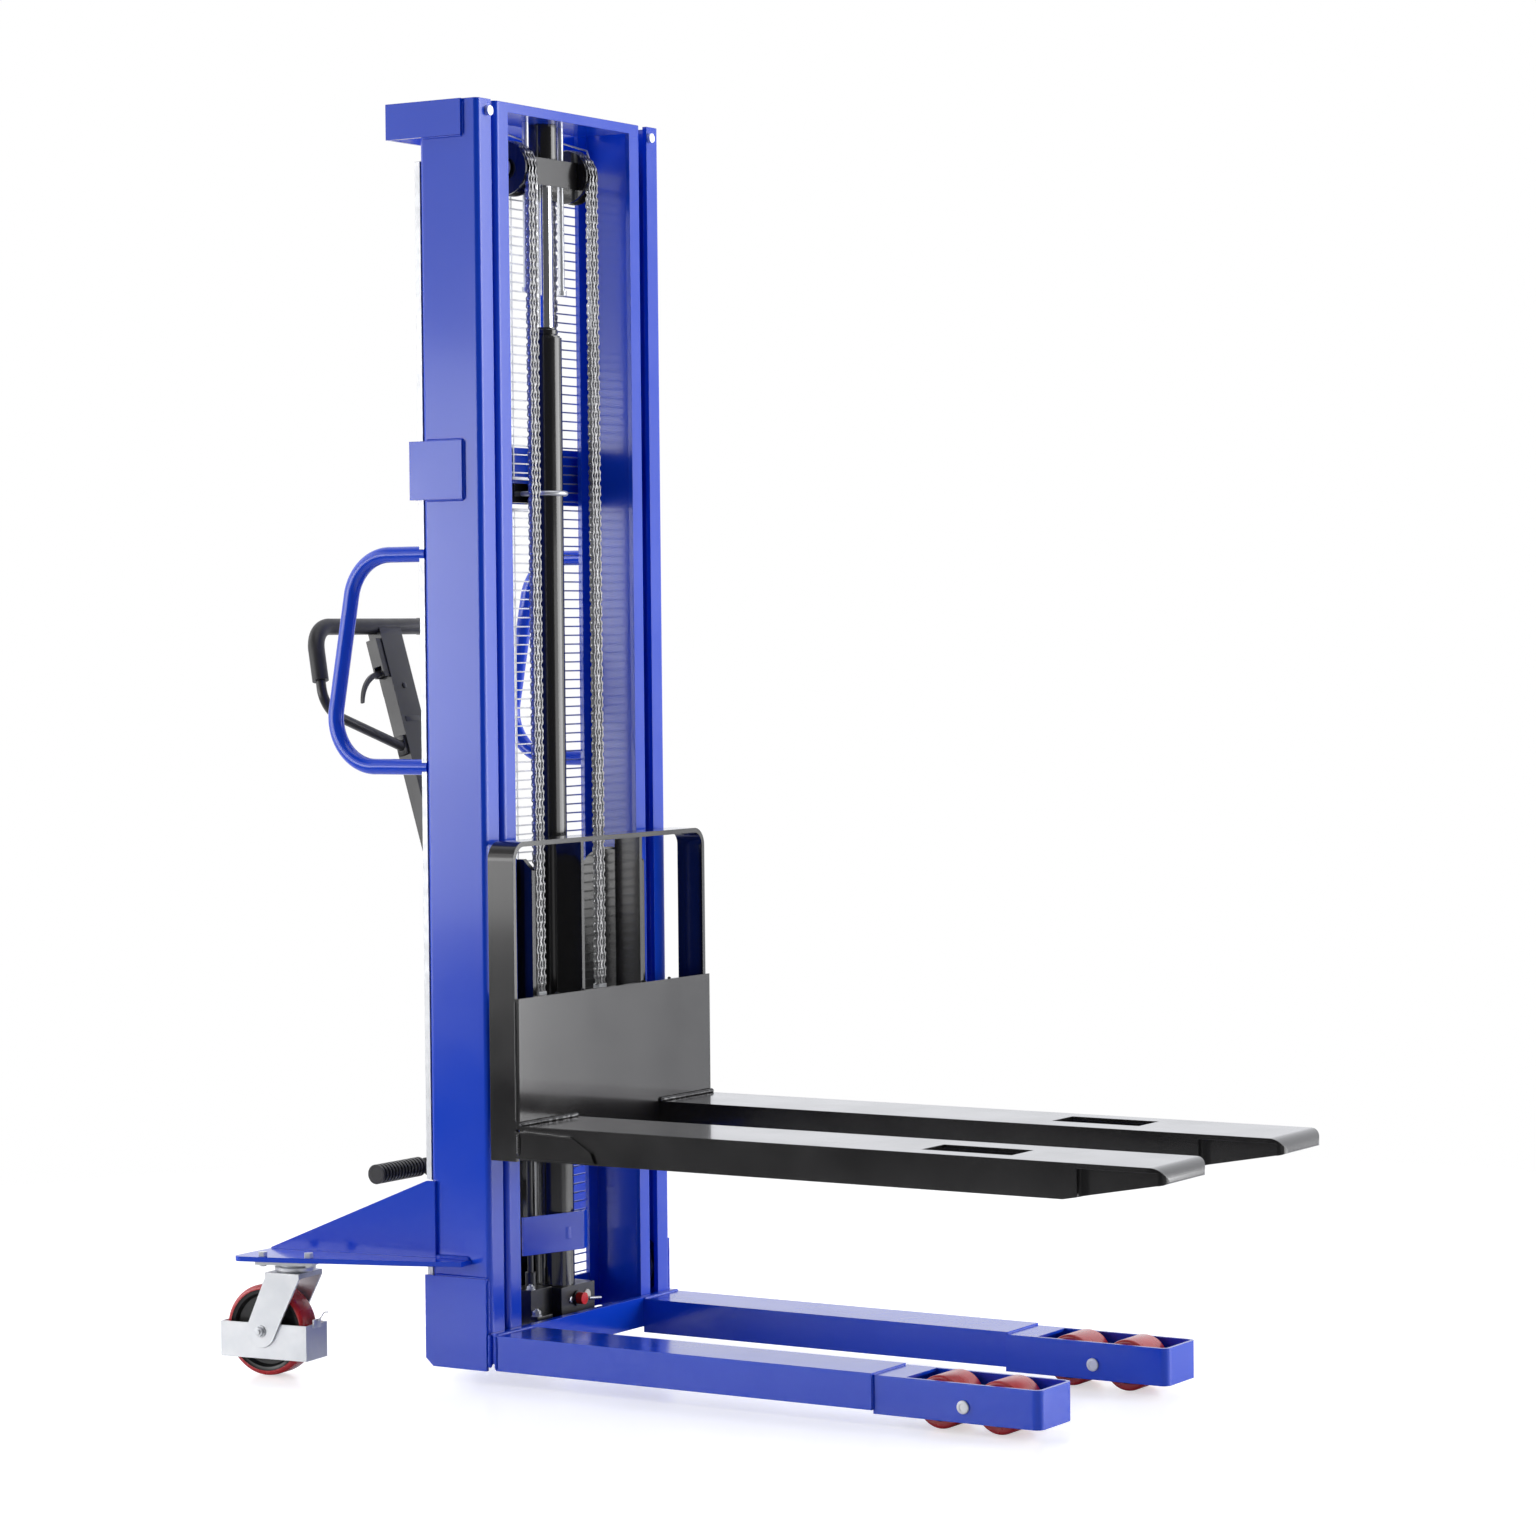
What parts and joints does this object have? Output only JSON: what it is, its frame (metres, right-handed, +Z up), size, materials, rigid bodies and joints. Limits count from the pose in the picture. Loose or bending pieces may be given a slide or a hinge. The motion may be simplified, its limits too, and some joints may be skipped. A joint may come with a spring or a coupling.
{
  "type": "hand pallet stacker",
  "caption": "Hand pallet stacker with a two-stage mast, free lift, straddle legs, hand and foot pump.",
  "frame": {"origin": "on the floor, under the middle of the outline in plan", "axes": "+X forward towards the fork tips, +Y to the left of someone at the tiller looking forward, +Z up"},
  "size_m": [1.6782, 0.826, 2.0776],
  "materials": {
    "blue_paint": "gloss",
    "black_paint": "gloss",
    "black_handle": "satin",
    "grip_plastic": "matte",
    "pump_iron": "satin",
    "guard_wire": "satin",
    "zinc_steel": "satin",
    "chain_steel": "oiled",
    "grey_steel": "satin",
    "chrome_rod": "polished",
    "slide_plastic": "matte",
    "red_plastic": "gloss",
    "red_tread": "satin"
  },
  "bodies": {
    "frame": {"outer_channel_near": "blue_paint", "outer_channel_far": "blue_paint", "top_bracket": "blue_paint", "mid_bracket": "blue_paint", "base_side_plates": "blue_paint", "front_cross_plate": "blue_paint", "floor_plate": "blue_paint", "straddle_leg_near": "blue_paint", "straddle_leg_far": "blue_paint", "roller_box_near": "blue_paint", "roller_box_far": "blue_paint", "outrigger_near": "blue_paint", "outrigger_far": "blue_paint", "push_handle_near": "blue_paint", "push_handle_far": "blue_paint", "rear_guard": "guard_wire", "frame_bolts": "zinc_steel", "slide_pads": "slide_plastic", "lift_cylinder": "black_paint", "cylinder_bracket": "black_paint", "pump_cover_plate": "blue_paint", "pump_block": "pump_iron", "tiller_bracket": "black_paint", "chain_base_anchors": "zinc_steel", "chain_rear_lower": "chain_steel"},
    "inner_mast": {"inner_mast": "blue_paint", "guide_rods": "zinc_steel", "chain_rear_upper": "chain_steel"},
    "inner_mast_rollers": {"inner_mast_rollers": "grey_steel"},
    "crosshead": {"crosshead": "grey_steel", "piston_rod": "chrome_rod", "chain_wraps": "chain_steel", "chain_front_runs": "chain_steel"},
    "chain_wheel_near": {"chain_wheel_near": "black_paint"},
    "chain_wheel_far": {"chain_wheel_far": "black_paint"},
    "chain_ends": {"chain_clevises": "zinc_steel"},
    "carriage": {"carriage_frame": "black_paint", "apron_plate": "black_paint", "roller_plates": "black_paint", "fork_near": "black_paint", "fork_far": "black_paint", "chain_anchor_rods": "zinc_steel"},
    "carriage_rollers_upper": {"carriage_rollers_upper": "grey_steel"},
    "carriage_rollers_lower": {"carriage_rollers_lower": "grey_steel"},
    "tiller": {"tiller_arm": "black_handle", "tiller_grip": "grip_plastic"},
    "release_trigger": {"release_trigger": "grip_plastic"},
    "pump_plunger": {"pump_plunger": "zinc_steel"},
    "foot_pedal": {"foot_pedal": "black_handle"},
    "valve_knob": {"valve_knob": "red_plastic"},
    "caster_near": {"caster_near": "zinc_steel"},
    "caster_wheel_near": {"caster_wheel_near": "red_tread"},
    "bogie_near": {"bogie_near": "zinc_steel"},
    "load_roller_near_rear": {"load_roller_near_rear": "red_tread"},
    "load_roller_near_front": {"load_roller_near_front": "red_tread"},
    "caster_far": {"caster_far": "zinc_steel"},
    "caster_wheel_far": {"caster_wheel_far": "red_tread"},
    "bogie_far": {"bogie_far": "zinc_steel"},
    "load_roller_far_rear": {"load_roller_far_rear": "red_tread"},
    "load_roller_far_front": {"load_roller_far_front": "red_tread"}
  },
  "joints": [
    {"name": "mast_lift", "type": "slide", "parent": "frame", "child": "inner_mast", "axis": [0, 0, 1], "range_m": [0, 1.2], "deforming": ["chain_rear_lower"]},
    {"name": "free_lift", "type": "slide", "parent": "inner_mast", "child": "crosshead", "axis": [0, 0, 1], "range_m": [-0.15, 0], "deforming": ["chain_rear_upper"]},
    {"name": "chain_wheel_near_spin", "type": "hinge", "parent": "crosshead", "child": "chain_wheel_near", "pos_m": [-0.44492, -0.088, 1.9786], "axis": [0, 1, 0], "continuous": true},
    {"name": "chain_wheel_far_spin", "type": "hinge", "parent": "crosshead", "child": "chain_wheel_far", "pos_m": [-0.44492, 0.088, 1.9786], "axis": [0, 1, 0], "continuous": true},
    {"name": "chain_haul", "type": "slide", "parent": "crosshead", "child": "chain_ends", "axis": [0, 0, 1], "range_m": [0, 1.2], "deforming": ["chain_front_runs"]},
    {"name": "carriage_lift", "type": "slide", "parent": "chain_ends", "child": "carriage", "axis": [0, 0, 1], "range_m": [-0.15, 0], "deforming": ["chain_anchor_rods"]},
    {"name": "carriage_rollers_upper_spin", "type": "hinge", "parent": "carriage", "child": "carriage_rollers_upper", "pos_m": [-0.44142, 0, 0.8006], "axis": [0, 1, 0], "continuous": true},
    {"name": "carriage_rollers_lower_spin", "type": "hinge", "parent": "carriage", "child": "carriage_rollers_lower", "pos_m": [-0.44142, 0, 0.4346], "axis": [0, 1, 0], "continuous": true},
    {"name": "inner_mast_rollers_spin", "type": "hinge", "parent": "inner_mast", "child": "inner_mast_rollers", "pos_m": [-0.44142, 0, 0.1246], "axis": [0, 1, 0], "continuous": true},
    {"name": "tiller_swing", "type": "hinge", "parent": "frame", "child": "tiller", "pos_m": [-0.51792, 0, 0.3396], "axis": [0, 1, 0], "range_deg": [-45, 0]},
    {"name": "trigger_squeeze", "type": "hinge", "parent": "tiller", "child": "release_trigger", "pos_m": [-0.76045, -0.038, 1.148], "axis": [0.9578, 0, 0.2874], "range_deg": [-15, 0], "stiffness_Nm_per_rad": 1, "springref_deg": 5.73},
    {"name": "plunger_stroke", "type": "slide", "parent": "frame", "child": "pump_plunger", "axis": [0, 0, 1], "range_m": [-0.034, 0]},
    {"name": "pedal_press", "type": "hinge", "parent": "frame", "child": "foot_pedal", "pos_m": [-0.53292, 0, 0.2296], "axis": [0, 1, 0], "range_deg": [-25, 0], "stiffness_Nm_per_rad": 8, "springref_deg": 20.05},
    {"name": "valve_turn", "type": "hinge", "parent": "frame", "child": "valve_knob", "pos_m": [-0.39492, 0.01, 0.1006], "axis": [1, 0, 0], "range_deg": [0, 270]},
    {"name": "caster_near_swivel", "type": "hinge", "parent": "frame", "child": "caster_near", "pos_m": [-0.71092, -0.355, 0.1746], "axis": [0, 0, 1], "continuous": true},
    {"name": "caster_near_roll", "type": "hinge", "parent": "caster_near", "child": "caster_wheel_near", "pos_m": [-0.75667, -0.35981, 0.075], "axis": [-0.1045, 0.9945, 0], "continuous": true},
    {"name": "bogie_near_rock", "type": "hinge", "parent": "frame", "child": "bogie_near", "pos_m": [0.49208, -0.2105, 0.041], "axis": [0, 1, 0], "range_deg": [-2, 2]},
    {"name": "load_roller_near_rear_roll", "type": "hinge", "parent": "bogie_near", "child": "load_roller_near_rear", "pos_m": [0.44108, -0.2105, 0.041], "axis": [0, 1, 0], "continuous": true},
    {"name": "load_roller_near_front_roll", "type": "hinge", "parent": "bogie_near", "child": "load_roller_near_front", "pos_m": [0.54308, -0.2105, 0.041], "axis": [0, 1, 0], "continuous": true},
    {"name": "caster_far_swivel", "type": "hinge", "parent": "frame", "child": "caster_far", "pos_m": [-0.71092, 0.355, 0.1746], "axis": [0, 0, 1], "continuous": true},
    {"name": "caster_far_roll", "type": "hinge", "parent": "caster_far", "child": "caster_wheel_far", "pos_m": [-0.75667, 0.35981, 0.075], "axis": [0.1045, 0.9945, 0], "continuous": true},
    {"name": "bogie_far_rock", "type": "hinge", "parent": "frame", "child": "bogie_far", "pos_m": [0.49208, 0.2105, 0.041], "axis": [0, 1, 0], "range_deg": [-2, 2]},
    {"name": "load_roller_far_rear_roll", "type": "hinge", "parent": "bogie_far", "child": "load_roller_far_rear", "pos_m": [0.44108, 0.2105, 0.041], "axis": [0, 1, 0], "continuous": true},
    {"name": "load_roller_far_front_roll", "type": "hinge", "parent": "bogie_far", "child": "load_roller_far_front", "pos_m": [0.54308, 0.2105, 0.041], "axis": [0, 1, 0], "continuous": true}
  ],
  "couplings": [
    {"joint": "chain_haul", "follows": "mast_lift", "ratio": 1},
    {"joint": "chain_wheel_near_spin", "follows": "mast_lift", "rad_per_m": -23.641},
    {"joint": "chain_wheel_far_spin", "follows": "mast_lift", "rad_per_m": -23.641},
    {"joint": "carriage_lift", "follows": "free_lift", "ratio": 1},
    {"joint": "plunger_stroke", "follows": "tiller_swing", "m_per_rad": 0.043}
  ]
}
